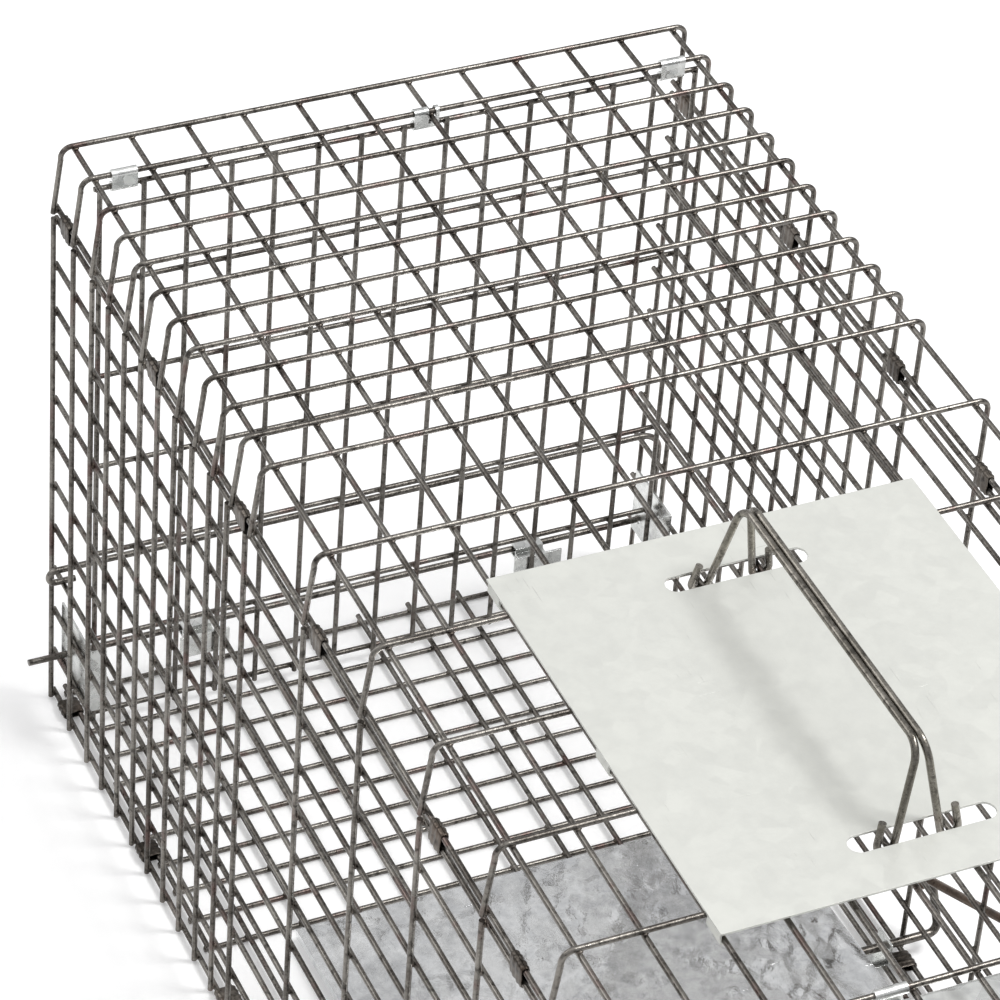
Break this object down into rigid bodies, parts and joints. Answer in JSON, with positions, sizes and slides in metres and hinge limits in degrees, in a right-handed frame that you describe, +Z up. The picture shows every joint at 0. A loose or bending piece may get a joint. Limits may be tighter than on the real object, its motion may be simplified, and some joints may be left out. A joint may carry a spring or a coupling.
{
  "type": "live catch trap",
  "caption": "Welded wire cage trap with a raised front door, trip pan and trigger rod, rear release door with a lock rod, and a carrying handle over a guard plate.",
  "frame": {"origin": "on the ground under the middle of the cage", "axes": "+X along the trap towards the front door, +Z up, +Y across to the trigger rod's side"},
  "size_m": [0.855, 0.329, 0.347],
  "materials": {
    "cage_wire": "dull drawn wire",
    "ring_steel": "oxidised sheet",
    "guard_sheet": "pale satin galvanised",
    "handle_wire": "drawn wire",
    "bright_sheet": "bright galvanised",
    "pan_sheet": "galvanised with a soft shine",
    "door_sheet": "galvanised",
    "rod_steel": "drawn rod",
    "trigger_steel": "brown oxidised rod",
    "rivet_steel": "pressed rivet"
  },
  "bodies": {
    "cage": {"top_panel": "cage_wire", "left_side_panel": "cage_wire", "right_side_panel": "cage_wire", "floor_panel": "cage_wire", "top_left_rings": "ring_steel", "top_right_rings": "ring_steel", "bottom_left_rings": "ring_steel", "bottom_right_rings": "ring_steel", "handle_guard": "guard_sheet", "left_handle_wire": "handle_wire", "right_handle_wire": "handle_wire", "door_stop_strap": "bright_sheet", "left_lock_bracket": "bright_sheet", "right_lock_bracket": "bright_sheet", "front_hinge_rod": "rod_steel", "front_sill": "bright_sheet", "pan_bearings": "bright_sheet", "trigger_rod_guides": "bright_sheet"},
    "rear_door": {"rear_door": "cage_wire", "rear_door_straps": "bright_sheet", "rear_door_tabs": "bright_sheet"},
    "rear_lock": {"rear_lock_rod": "cage_wire"},
    "pan": {"trip_pan": "pan_sheet", "pan_clips": "bright_sheet", "pan_pivot_rod": "rod_steel"},
    "trigger": {"trigger_rod": "trigger_steel"},
    "front_door": {"front_door": "door_sheet", "front_door_straps": "bright_sheet", "front_door_rivets": "rivet_steel", "front_latch_plate": "bright_sheet"}
  },
  "joints": [
    {"name": "rear_door_hinge", "type": "hinge", "parent": "cage", "child": "rear_door", "pos_m": [-0.4004, 0, 0.30802], "axis": [0, -1, 0], "range_deg": [0, 30]},
    {"name": "rear_lock_slide", "type": "slide", "parent": "cage", "child": "rear_lock", "axis": [0, 1, 0], "range_m": [0, 0.3]},
    {"name": "pan_tilt", "type": "hinge", "parent": "cage", "child": "pan", "pos_m": [-0.1367, 0, 0.0112], "axis": [0, 1, 0], "range_deg": [0, 4.5]},
    {"name": "trigger_slide", "type": "slide", "parent": "cage", "child": "trigger", "axis": [0.8902, 0, 0.4555], "range_m": [0, 0.0023]},
    {"name": "front_door_hinge", "type": "hinge", "parent": "cage", "child": "front_door", "pos_m": [0.418, 0, 0.29247], "axis": [0, -1, 0], "range_deg": [0, 86]}
  ],
  "couplings": [
    {"joint": "trigger_slide", "follows": "pan_tilt", "m_per_rad": 0.028}
  ]
}
